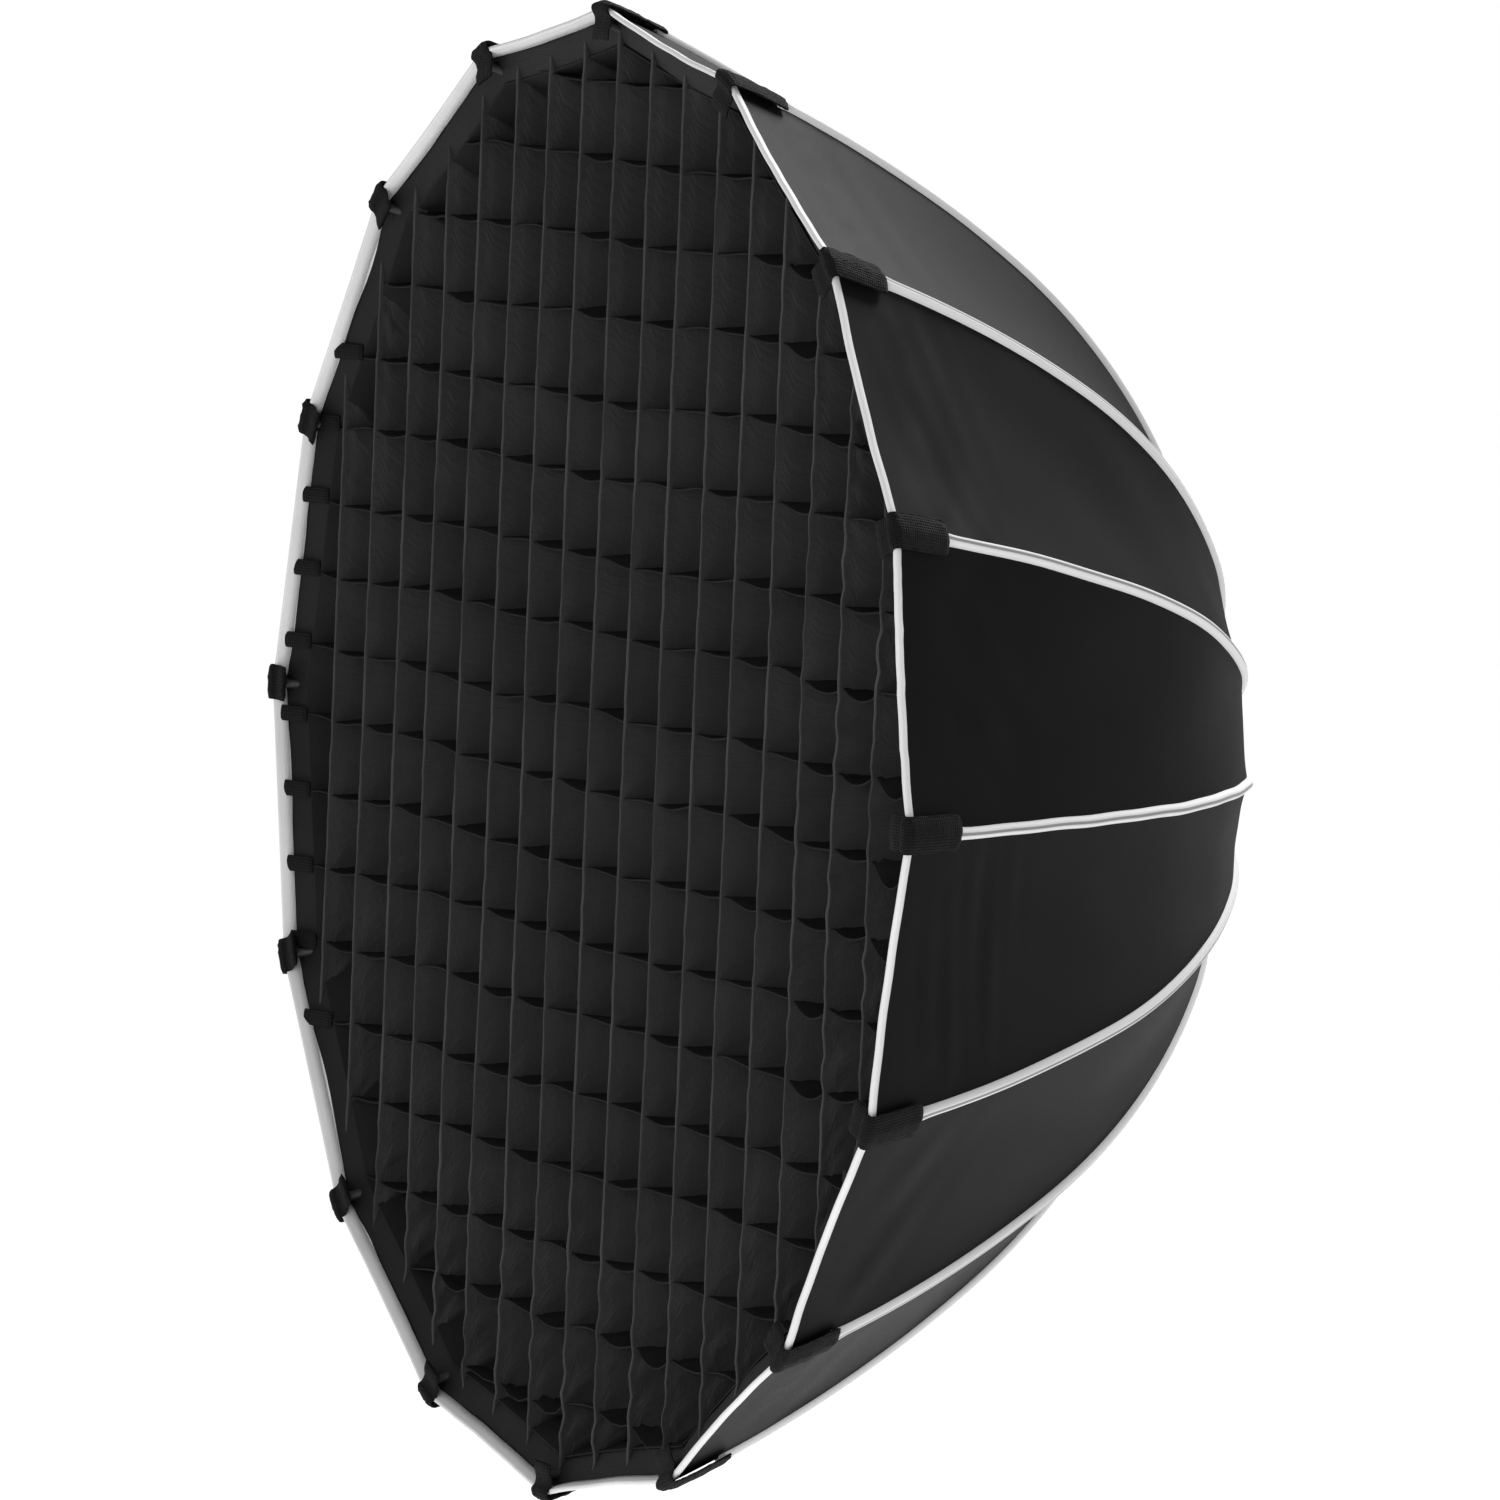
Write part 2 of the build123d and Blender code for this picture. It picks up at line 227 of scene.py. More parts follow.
def make_piece(name, points, faces, materials, uv=None, face_material=None):
    """Mesh object from points and faces, smooth, with a UV map in metres for its weave."""
    mesh = bpy.data.meshes.new(name)
    mesh.from_pydata([tuple(p) for p in np.reshape(points, (-1, 3))], [], faces)
    for material in materials:
        mesh.materials.append(material)
    if face_material is not None:
        mesh.polygons.foreach_set("material_index", face_material)
    if uv is not None:
        layer = mesh.uv_layers.new(name="Weave")
        corner = np.zeros(len(mesh.loops), np.int32)
        mesh.loops.foreach_get("vertex_index", corner)
        layer.data.foreach_set("uv", np.reshape(uv, (-1, 2))[corner].astype(np.float32).ravel())
    mesh.polygons.foreach_set("use_smooth", [True] * len(mesh.polygons))
    mesh.update()
    piece = bpy.data.objects.new(name, mesh)
    bpy.context.scene.collection.objects.link(piece)
    return piece


def make_tube(name, rings, materials, along=None, round_it=None):
    """Closed solid from rings of points: (stations, points round, 3), capped at both ends."""
    rings = np.asarray(rings, float)
    stations, around = rings.shape[:2]
    faces = capped_faces(stations, around)
    if along is None:
        steps = np.linalg.norm(np.diff(rings.mean(axis=1), axis=0), axis=1)
        along = np.concatenate([[0.0], np.cumsum(steps)])
    if round_it is None:
        hops = np.linalg.norm(np.diff(rings[stations // 2], axis=0), axis=1)
        round_it = np.concatenate([[0.0], np.cumsum(hops)])
    uv = np.stack(np.broadcast_arrays(np.asarray(along)[:, None], np.asarray(round_it)[None, :]), axis=-1)
    return make_piece(name, rings, faces, materials, uv)


def flat_loop(half_width, thickness, edge=0.5, count=9):
    """Cross-section of a flat tape: across and lift of a closed loop with rounded edges."""
    across = half_width * np.sin(np.linspace(-1, 1, count) * math.pi / 2)
    bulge = thickness / 2 * np.maximum(1 - np.abs(across / half_width) ** (2 / edge), 0.25)
    top = np.stack([across, bulge], axis=1)
    bottom = np.stack([across[::-1], -bulge[::-1]], axis=1)
    return np.concatenate([top, bottom])


def smooth_noise(points, seed, size):
    """Gentle noise from a few seeded waves, about -1 to 1, over points of any dimension."""
    rng = np.random.default_rng(seed)
    points = np.asarray(points, float)
    total = np.zeros(points.shape[:-1])
    for _ in range(5):
        wave = rng.normal(size=points.shape[-1]) * 2 * math.pi / size * rng.uniform(0.6, 1.3)
        total += np.sin(points @ wave + rng.uniform(0, 2 * math.pi))
    return total / 3


# ---------------------------------------------------------------- materials


def new_material(name, colour, roughness, specular=0.5, metallic=0.0, sheen=0.0):
    """Principled material with its uniform values on the shader's own sockets."""
    material = bpy.data.materials.new(name)
    material.use_nodes = True
    shader = material.node_tree.nodes["Principled BSDF"]
    shader.inputs["Base Color"].default_value = (*colour, 1)
    shader.inputs["Roughness"].default_value = roughness
    shader.inputs["Specular IOR Level"].default_value = specular
    shader.inputs["Metallic"].default_value = metallic
    shader.inputs["Sheen Weight"].default_value = sheen
    shader.inputs["Sheen Roughness"].default_value = 0.5
    material.diffuse_color = (*colour, 1)
    return material, material.node_tree, shader


def add_node(tree, kind, inputs=(), **settings):
    """Shader node with its settings, and its sockets linked or set to values."""
    node = tree.nodes.new(kind)
    for key, value in settings.items():
        setattr(node, key, value)
    for socket, value in dict(inputs).items():
        if isinstance(value, bpy.types.NodeSocket):
            tree.links.new(value, node.inputs[socket])
        else:
            node.inputs[socket].default_value = value
    return node


def math_node(tree, operation, first, second=0.0):
    """Output of a Math node on two sockets or values."""
    return add_node(tree, "ShaderNodeMath", {0: first, 1: second}, operation=operation).outputs[0]


def ramp_between(tree, factor, low, high, start=0.0, end=1.0):
    """Colour that runs from low to high as a factor runs from start to end."""
    ramp = add_node(tree, "ShaderNodeValToRGB", {"Fac": factor})
    ramp.color_ramp.elements[0].position, ramp.color_ramp.elements[1].position = start, end
    ramp.color_ramp.elements[0].color, ramp.color_ramp.elements[1].color = (*low, 1), (*high, 1)
    return ramp.outputs["Color"]


def weave_height(tree, vector, thread):
    """Height of a plain weave with threads of a width, from two crossing wave patterns."""
    scale = 2 * math.pi / (20 * 2 * thread)
    warp = add_node(tree, "ShaderNodeTexWave", {"Vector": vector, "Scale": scale}, bands_direction="X")
    weft = add_node(tree, "ShaderNodeTexWave", {"Vector": vector, "Scale": scale}, bands_direction="Y")
    return math_node(tree, "ADD", warp.outputs["Fac"], weft.outputs["Fac"])


def cloth_material(
    name, colour, roughness, thread, specular=0.3, sheen=0.0, bump=0.3, mottle=0.12, pucker=0.0
):
    """Woven cloth: weave and slubs in the bump, soft mottling in colour, and puckers across a ribbon."""
    material, tree, shader = new_material(name, colour, roughness, specular, sheen=sheen)
    vector = add_node(tree, "ShaderNodeUVMap", uv_map="Weave").outputs["UV"]
    weave = weave_height(tree, vector, thread)
    slub = add_node(tree, "ShaderNodeTexNoise", {"Vector": vector, "Scale": 420.0, "Detail": 3.0})
    cloud = add_node(tree, "ShaderNodeTexNoise", {"Vector": vector, "Scale": 14.0, "Detail": 5.0})
    height = math_node(tree, "ADD", weave, slub.outputs["Fac"])
    relief = add_node(tree, "ShaderNodeBump", {"Height": height, "Strength": bump, "Distance": thread / 2})
    normal = relief.outputs["Normal"]
    if pucker:
        squeeze = {"Vector": vector, "Scale": (1.0, 0.04, 1.0)}
        stretched = add_node(tree, "ShaderNodeMapping", squeeze).outputs[0]
        lines = add_node(tree, "ShaderNodeTexNoise", {"Vector": stretched, "Scale": 260.0, "Detail": 2.0})
        drawn = {"Height": lines.outputs["Fac"], "Strength": pucker, "Distance": 0.004, "Normal": normal}
        normal = add_node(tree, "ShaderNodeBump", drawn).outputs["Normal"]
    tree.links.new(normal, shader.inputs["Normal"])
    low = tuple(c * (1 - mottle) for c in colour)
    high = tuple(min(c * (1 + mottle), 1) for c in colour)
    shade = ramp_between(tree, cloud.outputs["Fac"], low, high, 0.3, 0.7)
    tree.links.new(shade, shader.inputs["Base Color"])
    spread = {"Value": slub.outputs["Fac"], "To Min": roughness - 0.07, "To Max": roughness + 0.07}
    rough = add_node(tree, "ShaderNodeMapRange", spread)
    tree.links.new(rough.outputs["Result"], shader.inputs["Roughness"])
    return material


def tape_with_painted_groove_shade(name, light, painted_shade, half_width, groove_shade):
    """Tape with painted shade down the groove in its middle, and fine ribs across it."""
    material, tree, shader = new_material(name, light, 0.6, 0.3)
    vector = add_node(tree, "ShaderNodeUVMap", uv_map="Weave").outputs["UV"]
    split = add_node(tree, "ShaderNodeSeparateXYZ", {"Vector": vector})
    off = math_node(tree, "ABSOLUTE", split.outputs["Y"])
    # painted shade: the tape's colour darkens towards its middle, where the stitched groove lies in shade
    shade = ramp_between(tree, math_node(tree, "DIVIDE", off, half_width), painted_shade, light, groove_shade, groove_shade + 0.12)
    tree.links.new(shade, shader.inputs["Base Color"])
    ribs = add_node(tree, "ShaderNodeTexWave", {"Vector": vector, "Scale": 260.0}, bands_direction="X")
    raised = {"Height": ribs.outputs["Fac"], "Strength": 0.25, "Distance": 0.0003}
    relief = add_node(tree, "ShaderNodeBump", raised)
    tree.links.new(relief.outputs["Normal"], shader.inputs["Normal"])
    return material


def moulded(name, colour, roughness, grain=900.0, metallic=0.0, strength=0.12):
    """Moulded or machined surface: fine grain in the bump and a slight change of roughness."""
    material, tree, shader = new_material(name, colour, roughness, 0.5, metallic)
    vector = add_node(tree, "ShaderNodeTexCoord").outputs["Object"]
    fine = add_node(tree, "ShaderNodeTexNoise", {"Vector": vector, "Scale": grain, "Detail": 4.0})
    broad = add_node(tree, "ShaderNodeTexNoise", {"Vector": vector, "Scale": 25.0, "Detail": 3.0})
    raised = {"Height": fine.outputs["Fac"], "Strength": strength, "Distance": 0.0002}
    relief = add_node(tree, "ShaderNodeBump", raised)
    tree.links.new(relief.outputs["Normal"], shader.inputs["Normal"])
    smoothest = max(roughness - 0.08, 0.05)
    spread = {"Value": broad.outputs["Fac"], "To Min": smoothest, "To Max": roughness + 0.08}
    rough = add_node(tree, "ShaderNodeMapRange", spread)
    tree.links.new(rough.outputs["Result"], shader.inputs["Roughness"])
    low, high = tuple(c * 0.85 for c in colour), tuple(min(c * 1.15, 1) for c in colour)
    shade = ramp_between(tree, broad.outputs["Fac"], low, high, 0.35, 0.65)
    tree.links.new(shade, shader.inputs["Base Color"])
    return material


def make_materials():
    """Every finish of the object, by its short name."""
    shell, silver, ribbon = (0.0055, 0.0055, 0.0057), (0.62, 0.63, 0.64), (0.022, 0.022, 0.0225)
    # level is painted shade: the uprights' black ribbon cloth made darker for the level ribbons and the edge
    # band
    level, hem, hook = (0.014, 0.014, 0.014), (0.0075, 0.0075, 0.008), (0.006, 0.006, 0.006)
    # groove_shade is painted shade: the darker colour put down the middle groove of the seam piping
    tape, piping, groove_shade = (0.60, 0.60, 0.60), (0.62, 0.62, 0.62), (0.22, 0.22, 0.22)
    white, elastic, fibre = (0.82, 0.82, 0.81), (0.02, 0.02, 0.02), (0.006, 0.006, 0.006)
    nylon, hub, metal = (0.03, 0.03, 0.03), (0.022, 0.022, 0.023), (0.05, 0.05, 0.052)
    steel, grip = (0.6, 0.6, 0.6), (0.05, 0.05, 0.055)
    # cloth: colour, roughness, thread, specular, sheen, bump, mottle, pucker
    return {
        "shell": cloth_material("shell_cloth", shell, 0.55, 0.35 * MM, 0.03, 0.0, 0.25),
        "lining": cloth_material("silver_lining", silver, 0.38, 0.6 * MM, 0.8, 0.0, 0.5),
        "grid": cloth_material("grid_ribbon", ribbon, 0.6, 0.4 * MM, 0.3, 0.0, 0.4, 0.25, 0.15),
        # painted shade: the level ribbons' cloth is the uprights' fabric, darker to stand in for their shaded
        # top faces
        "level": cloth_material("level_ribbon_painted_shade", level, 0.8, 0.4 * MM, 0.05, 0.0, 0.4, 0.25),
        "hem": cloth_material("grid_hem", hem, 0.7, 0.5 * MM, 0.15, 0.0, 0.4, 0.2),
        "hook": cloth_material("hook_tape", hook, 0.85, 0.9 * MM, 0.1, 0.01, 0.9, 0.4),
        "binding": cloth_material("rim_binding", tape, 0.6, 0.45 * MM, 0.3, 0.0, 0.3, 0.06),
        "piping": tape_with_painted_groove_shade("seam_piping", piping, groove_shade, PIPING_HALF, 0.18),
        "diffusion": cloth_material("diffusion_cloth", white, 0.7, 0.5 * MM, 0.2, 0.0, 0.25, 0.03),
        "elastic": cloth_material("black_elastic", elastic, 0.7, 0.8 * MM, 0.25, 0.1, 0.8, 0.2),
        "rod": moulded("rod_fibre", fibre, 0.5, 1400.0),
        "nylon": moulded("holder_nylon", nylon, 0.5, 900.0),
        "housing": moulded("hub_plastic", hub, 0.45, 700.0, strength=0.2),
        "mount": moulded("mount_metal", metal, 0.32, 1200.0, 0.9),
        "steel": moulded("plain_steel", steel, 0.28, 1500.0, 1.0),
        "grip": moulded("release_grip", grip, 0.6, 600.0, strength=0.3),
    }


MATERIALS = make_materials()

# ---------------------------------------------------------------- shell


def panel_relief(index, share, distance):
    """Small outward moves of a panel's cloth: puckers on its sewn line, folds by the rim, slight waves."""
    place = np.stack(np.broadcast_arrays(share * 0.09, distance), axis=-1)
    free = (1 - share**4) * np.clip(distance / 0.02, 0, 1)
    pucker = 0.45 * MM * np.exp(-(((distance - SEWN_LINE) / 0.008) ** 2))
    pucker = pucker * smooth_noise(place * np.array([1.0, 0.15]), 40 + index, 0.018)
    fold = 0.9 * MM * np.exp(-(((distance - 0.07) / 0.045) ** 2))
    fold = fold * smooth_noise(place * np.array([0.35, 1.0]), 80 + index, 0.045)
    wave = 0.7 * MM * smooth_noise(place, 120 + index, 0.22)
    return free * (pucker + fold + wave)


def make_panels():
    """Shell panels: black outside, silver inside, closed round their edges."""
    share = np.sin(np.linspace(-1, 1, 37) * math.pi / 2)[None, :]
    distance = np.concatenate([np.linspace(0.001, 0.12, 52), np.linspace(0.126, SEAM_END, 62)])[:, None]
    rows, columns = distance.shape[0], share.shape[1]
    layer = sheet_faces(rows, columns)
    count = rows * columns
    rim = (
        [row * columns for row in range(rows)]
        + [(rows - 1) * columns + column for column in range(1, columns)]
        + [row * columns + columns - 1 for row in range(rows - 2, -1, -1)]
        + list(range(columns - 2, 0, -1))
    )
    edge = [(a, b, b + count, a + count) for a, b in zip(rim, rim[1:] + rim[:1])]
    outer = [face[::-1] for face in layer]
    inner = [tuple(v + count for v in face) for face in layer]
    kinds = [0] * len(outer) + [1] * len(inner) + [0] * len(edge)
    width = 2 * RIM_RADIUS * math.sin(HALF)
    uv = np.stack(np.broadcast_arrays(share * width / 2, distance), axis=-1)
    panels = []
    for index in range(RIB_COUNT):
        relief = panel_relief(index, share, distance)
        outside = panel_points(index, share, distance, relief)
        inside = panel_points(index, share * 0.998, distance, relief - SHELL_THICK)
        points = np.concatenate([outside.reshape(-1, 3), inside.reshape(-1, 3)])
        panel = make_piece(
            f"shell_panel_{index + 1:02d}",
            points,
            outer + inner + edge,
            [MATERIALS["shell"], MATERIALS["lining"]],
            np.concatenate([uv.reshape(-1, 2), uv.reshape(-1, 2)]),
            kinds,
        )
        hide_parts(f"gore_{index + 1:02d}")
        blend_across(panel, index)
        panels.append(panel)
    return panels


def blend_across(piece, index):
    """Bake a panel's piece into world space; the point between its rib and the next is computed but not used.
    """
    middle = RIB_ANGLES[index] + HALF
    centre = in_rib_plane(middle, np.array(BLEND_MIDDLE_RADIUS), np.array(RIM_Y + BLEND_MIDDLE_DEPTH))
    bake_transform(piece)


def make_bindings():
    """Light tape folded over the rim edge of each panel."""
    share = np.linspace(-1, 1, 29)
    nose = np.linspace(-math.pi / 2, math.pi / 2, 7)
    lift_out, lift_in = 1.1 * MM, -2.2 * MM
    middle, half = (lift_out + lift_in) / 2, (lift_out - lift_in) / 2
    section = [(BINDING_OUT, lift_out - 0.9 * MM), (BINDING_OUT - 0.5 * MM, lift_out - 0.1 * MM)]
    section += [(1.5 * MM, lift_out)]
    section += [(-half * math.cos(a) * 0.8, middle - half * math.sin(a)) for a in nose]
    section += [(3.0 * MM, lift_in - 0.2 * MM), (BINDING_IN, lift_in), (BINDING_IN, lift_in + 0.6 * MM)]
    section = np.array(section)
    bindings = []
    for index in range(RIB_COUNT):
        ripple = 0.35 * MM * smooth_noise(share[:, None], 200 + index, 0.5)
        lift = section[None, :, 1] + ripple[:, None]
        rings = panel_points(index, share[:, None], section[None, :, 0], lift)
        binding = make_tube(f"rim_binding_{index + 1:02d}", rings, [MATERIALS["binding"]])
        blend_across(binding, index)
        bindings.append(binding)
    return bindings


def make_piping():
    """Light seam tape over each rib, raised by the rod beneath it, with a stitched groove down its middle
    whose darker colour is painted shade.
    """
    distance = np.linspace(PIPING_START, SEAM_END - 0.004, 90)
    across = np.array([-1.0, -0.86, -0.62, -0.36, -0.12, 0.12, 0.36, 0.62, 0.86, 1.0])
    height = np.array([0.0, 1.6, 3.1, 3.5, 3.0, 3.0, 3.5, 3.1, 1.6, 0.0]) * MM
    across = np.concatenate([across, across[::-1] * 0.9])
    height = np.concatenate([height, np.full(len(height), TAPE_BACK)])
    slope = -math.tan(HALF) * np.abs(across) * PIPING_HALF
    bands = across * PIPING_HALF
    start_swell = 1 + 0.25 * np.exp(-(((distance - PIPING_START) / 0.008) ** 2))
    tapes = []
    for index, angle in enumerate(RIB_ANGLES):
        sway = 0.5 * MM * smooth_noise(distance[:, None], 300 + index, 0.15)
        lift = (height[None, :] + slope[None, :]) * start_swell[:, None]
        radius, y = seam(distance[:, None], lift)
        sides = across[None, :] * PIPING_HALF * start_swell[:, None] + sway[:, None]
        rings = in_rib_plane(angle, radius, y, sides)
        tape = make_tube(f"seam_piping_{index + 1:02d}", rings, [MATERIALS["piping"]], distance, bands)
        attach(tape, f"rib_{index + 1:02d}")
        tapes.append(tape)
    return tapes


def make_pockets():
    """Lining sleeves that hold the rods against the seams."""
    distance = np.linspace(0.035, SEAM_END - 0.03, 60)
    turn = np.linspace(0, 2 * math.pi, 14, endpoint=False)
    across = 5.6 * MM * np.sin(turn)
    lift = -7.4 * MM + np.where(np.cos(turn) > 0, 4.4, 5.4) * MM * np.cos(turn)
    for index, angle in enumerate(RIB_ANGLES):
        radius, y = seam(distance[:, None], lift[None, :])
        rings = in_rib_plane(angle, radius, y, across[None, :])
        sleeve = make_tube(f"rod_pocket_{index + 1:02d}", rings, [MATERIALS["lining"]])
        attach(sleeve, f"rib_{index + 1:02d}")


# ---------------------------------------------------------------- grid


def polygon_reach(offset, flat_radius):
    """How far a line at an offset from the centre runs before it meets a sixteen-sided outline."""
    reach = np.full(np.shape(offset), np.inf)
    for index in range(RIB_COUNT // 2):
        normal = HALF + STEP * index
        reach = np.minimum(reach, (flat_radius - np.asarray(offset) * math.cos(normal)) / math.sin(normal))
    return reach


def grid_flat_radius(depth):
    """Flat-to-centre distance of the grid's edge band at a depth behind its front edge."""
    return (GRID_OUTER - GRID_TAPER * depth / GRID_DEPTH) * math.cos(HALF)


def ribbon_flat_radius(depth):
    """Flat-to-centre distance of the ribbons' ends: their front corners lap over the hem."""
    lap = GRID_OUTER + HEM_WIDTH - 6.5 * MM
    steps = [0.0, 6.0 * MM, 11.0 * MM, GRID_DEPTH]
    ends = [lap, lap - 2.0 * MM, GRID_OUTER - 3.0 * MM, GRID_OUTER - GRID_TAPER]
    return np.interp(depth, steps, ends) * math.cos(HALF)


def looseness(x, z):
    """How slack the ribbons are: little in the middle, more towards one side and the bottom."""
    right = np.clip((x - 0.20) / 0.20, 0, 1)
    below = np.clip((-z - 0.24) / 0.14, 0, 1.3)
    return 0.18 + np.clip(right + below, 0, 1.5)


def upright_shift(x, z, depth):
    """Sideways move of an upright ribbon."""
    place = np.stack(np.broadcast_arrays(x * 3, z), axis=-1)
    broad = 1.2 * MM * smooth_noise(place, 501, 0.30)
    local = 3.2 * MM * looseness(x, z) * smooth_noise(place * 2.2, 502, 0.13)
    local = local + 0.5 * MM * smooth_noise(place * 2.2, 505, 0.06)
    twist = 1.3 * MM * smooth_noise(place, 503, 0.16) * (depth / GRID_DEPTH - 0.3)
    return broad + local + twist


def level_shift(x, z, depth):
    """Upward move of a level ribbon: waves over the whole grid, and slack between the uprights."""
    place = np.stack(np.broadcast_arrays(x, z * 2), axis=-1)
    broad = 3.4 * MM * smooth_noise(place, 601, 0.34) + 2.0 * MM * smooth_noise(place, 602, 0.10)
    cell = x / UPRIGHT_PITCH - np.floor(x / UPRIGHT_PITCH)
    hang = 4 * cell * (1 - cell)
    cells = np.stack(np.broadcast_arrays(np.floor(x / UPRIGHT_PITCH), z / LEVEL_PITCH * 1.7), axis=-1)
    varied = 0.8 + 1.1 * smooth_noise(cells, 603, 1.4)
    sag = -6.5 * MM * looseness(x, z) * hang * np.clip(varied, -0.3, 1.8)
    tilt = 5.0 * MM * smooth_noise(place * np.array([1.3, 2.0]), 604, 0.12) * (depth / GRID_DEPTH - 0.1)
    return broad + sag + tilt


def ribbon_section(setback=0.0, fold_radius=RIBBON_FOLD):
    """Depth and thickness offset round a folded ribbon: a rounded fold in front and a flat back edge."""
    turns = np.linspace(0, math.pi * 0.62, 5)[1:]
    fold = [(setback + fold_radius * (1 - math.cos(a)), fold_radius * math.sin(a)) for a in turns]
    wall = [(share * GRID_DEPTH, RIBBON_THICK / 2) for share in (0.12, 0.22, 0.4, 0.6, 0.8, 1.0)]
    side = fold + wall
    return np.array([(setback, 0.0)] + side + [(d, -n) for d, n in side[::-1]])


def make_ribbons():
    """Upright and level ribbons of the grid, each its own folded strip."""
    sections = {True: ribbon_section(), False: ribbon_section(LEVEL_SETBACK, LEVEL_FOLD)}
    places = [(True, UPRIGHT_PITCH * index) for index in UPRIGHT_PLACES]
    places += [(False, LEVEL_PITCH * (index + 0.5) + LEVEL_RAISE) for index in LEVEL_PLACES]
    for index, (upright, at) in enumerate(places):
        depth, offset = sections[upright][None, :, 0], sections[upright][None, :, 1]
        reach = polygon_reach(abs(at) * np.ones_like(depth), ribbon_flat_radius(depth))
        stations = max(int(reach.min() / UPRIGHT_PITCH * 16), 24)
        run = np.linspace(-1, 1, stations)[:, None] * reach
        y = RIM_Y + GRID_FRONT + depth
        hold = 1 - np.clip((np.abs(run) / reach - 0.96) / 0.04, 0, 1) * 0.7
        if upright:
            swell = 0.72 + 0.4 * smooth_noise(run[:, :1], 900 + index, 0.10)[:, None]
            folded = np.where(depth < 3.0 * MM, offset * swell, offset)
            x, z = at + hold * upright_shift(at, run, depth) + folded, run
        else:
            x, z = run, at + hold * level_shift(run, at, depth) + offset
        rings = np.stack(np.broadcast_arrays(x, y, z), axis=-1)
        number = index + 1 if upright else index + 1 - len(UPRIGHT_PLACES)
        name = f"grid_{'upright' if upright else 'level'}_{number:02d}"
        # level ribbons take the darker level cloth, painted shade on the same fabric as the uprights
        ribbon = make_tube(name, rings, [MATERIALS["grid" if upright else "level"]])
        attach(ribbon, "grid")
        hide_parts("grid")


def make_edge_band():
    """Band that the ribbons are sewn to: sixteen straight runs with a rounded fold in front."""
    section = ribbon_section(LEVEL_SETBACK, LEVEL_FOLD)
    depth, offset = section[None, :, 0], section[None, :, 1]
    share = np.linspace(-1, 1, 17)[:-1]
    rings = []
    for index in range(RIB_COUNT):
        middle = RIB_ANGLES[index] + HALF
        flat = grid_flat_radius(depth) + 0.8 * MM + offset - 1.5 * MM * (1 - share[:, None] ** 2)
        across = share[:, None] * flat * math.tan(HALF)
        rings.append(in_rib_plane(middle, flat, RIM_Y + GRID_FRONT + depth, across))
    rings = np.concatenate(rings)
    stations, around = rings.shape[:2]
    faces = looped_faces(stations, around)
    run = np.arange(stations) * BAND_WEAVE_STEP
    uv = np.stack(np.broadcast_arrays(run[:, None], depth), axis=-1)
    # the edge band takes the darker level cloth, painted shade on the grid's own black fabric
    band = make_piece("grid_edge_band", rings, faces, [MATERIALS["level"]], uv)
    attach(band, "grid")
    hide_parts("grid")


def make_hem():
    """Flat hem between the edge band and the rim."""
    share = np.linspace(-1, 1, 15)[:-1]
    inner, outer = GRID_OUTER, GRID_OUTER + HEM_WIDTH
    section = [(0.0, 0.6), (0.15, 1.1), (0.5, 0.7), (0.85, 1.0), (1.0, 0.5)]
    section = np.array(section + [(1.0, -0.5), (0.5, -0.6), (0.0, -0.6)])
    rings = []
    for index in range(RIB_COUNT):
        middle = RIB_ANGLES[index] + HALF
        bow = 2.5 * MM * (1 - share[:, None] ** 2)
        flat = (inner + (outer - inner) * section[None, :, 0]) * math.cos(HALF) - bow
        wave = 0.8 * MM * smooth_noise(np.stack([share, share * 0 + index], axis=-1), 701, 0.7)
        slope = HEM_SETBACK - HEM_TILT * section[None, :, 0]
        y = RIM_Y + GRID_FRONT + slope - section[None, :, 1] * MM + wave[:, None]
        rings.append(in_rib_plane(middle, flat, y, share[:, None] * flat * math.tan(HALF)))
    rings = np.concatenate(rings)
    stations, around = rings.shape[:2]
    faces = looped_faces(stations, around)
    run = np.arange(stations)[:, None] * HEM_WEAVE_STEP
    uv = np.stack(np.broadcast_arrays(run, section[None, :, 0] * HEM_WEAVE_WIDTH), axis=-1)
    hem = make_piece("grid_hem", rings, faces, [MATERIALS["hem"]], uv)
    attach(hem, "grid")
    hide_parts("grid")


def make_end_loops():
    """Short black loops that sew the level ribbons' ends to the hem."""
    section = flat_loop(5.0 * MM, 2.0 * MM)
    stations = np.linspace(-0.12, 1.02, 7)
    rings_of = []
    for level in LOOP_PLACES:
        at = LEVEL_PITCH * (level + 0.5) + LEVEL_RAISE
        for side in (-1, 1):
            inner = polygon_reach(abs(at), GRID_OUTER * math.cos(HALF))
            outer = polygon_reach(abs(at), (GRID_OUTER + HEM_WIDTH) * math.cos(HALF) - 2.0 * MM)
            run = side * (inner + (outer - inner) * stations)[:, None]
            y = RIM_Y + GRID_FRONT + 0.6 * MM - HEM_TILT * stations[:, None] - section[None, :, 1]
            rings_of.append(np.stack(np.broadcast_arrays(run, y, at + section[None, :, 0]), axis=-1))
    around = section.shape[0]
    points, faces, uv = [], [], []
    for rings in rings_of:
        base = sum(len(p) for p in points)
        faces += [tuple(v + base for v in face) for face in capped_faces(len(stations), around)]
        points.append(rings.reshape(-1, 3))
        weave = np.stack(np.broadcast_arrays(stations[:, None] * 0.02, section[None, :, 0]), axis=-1)
        uv.append(weave.reshape(-1, 2))
    points, uv = np.concatenate(points), np.concatenate(uv)
    loops = make_piece("grid_end_loops", points, faces, [MATERIALS["hook"]], uv)
    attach(loops, "grid")


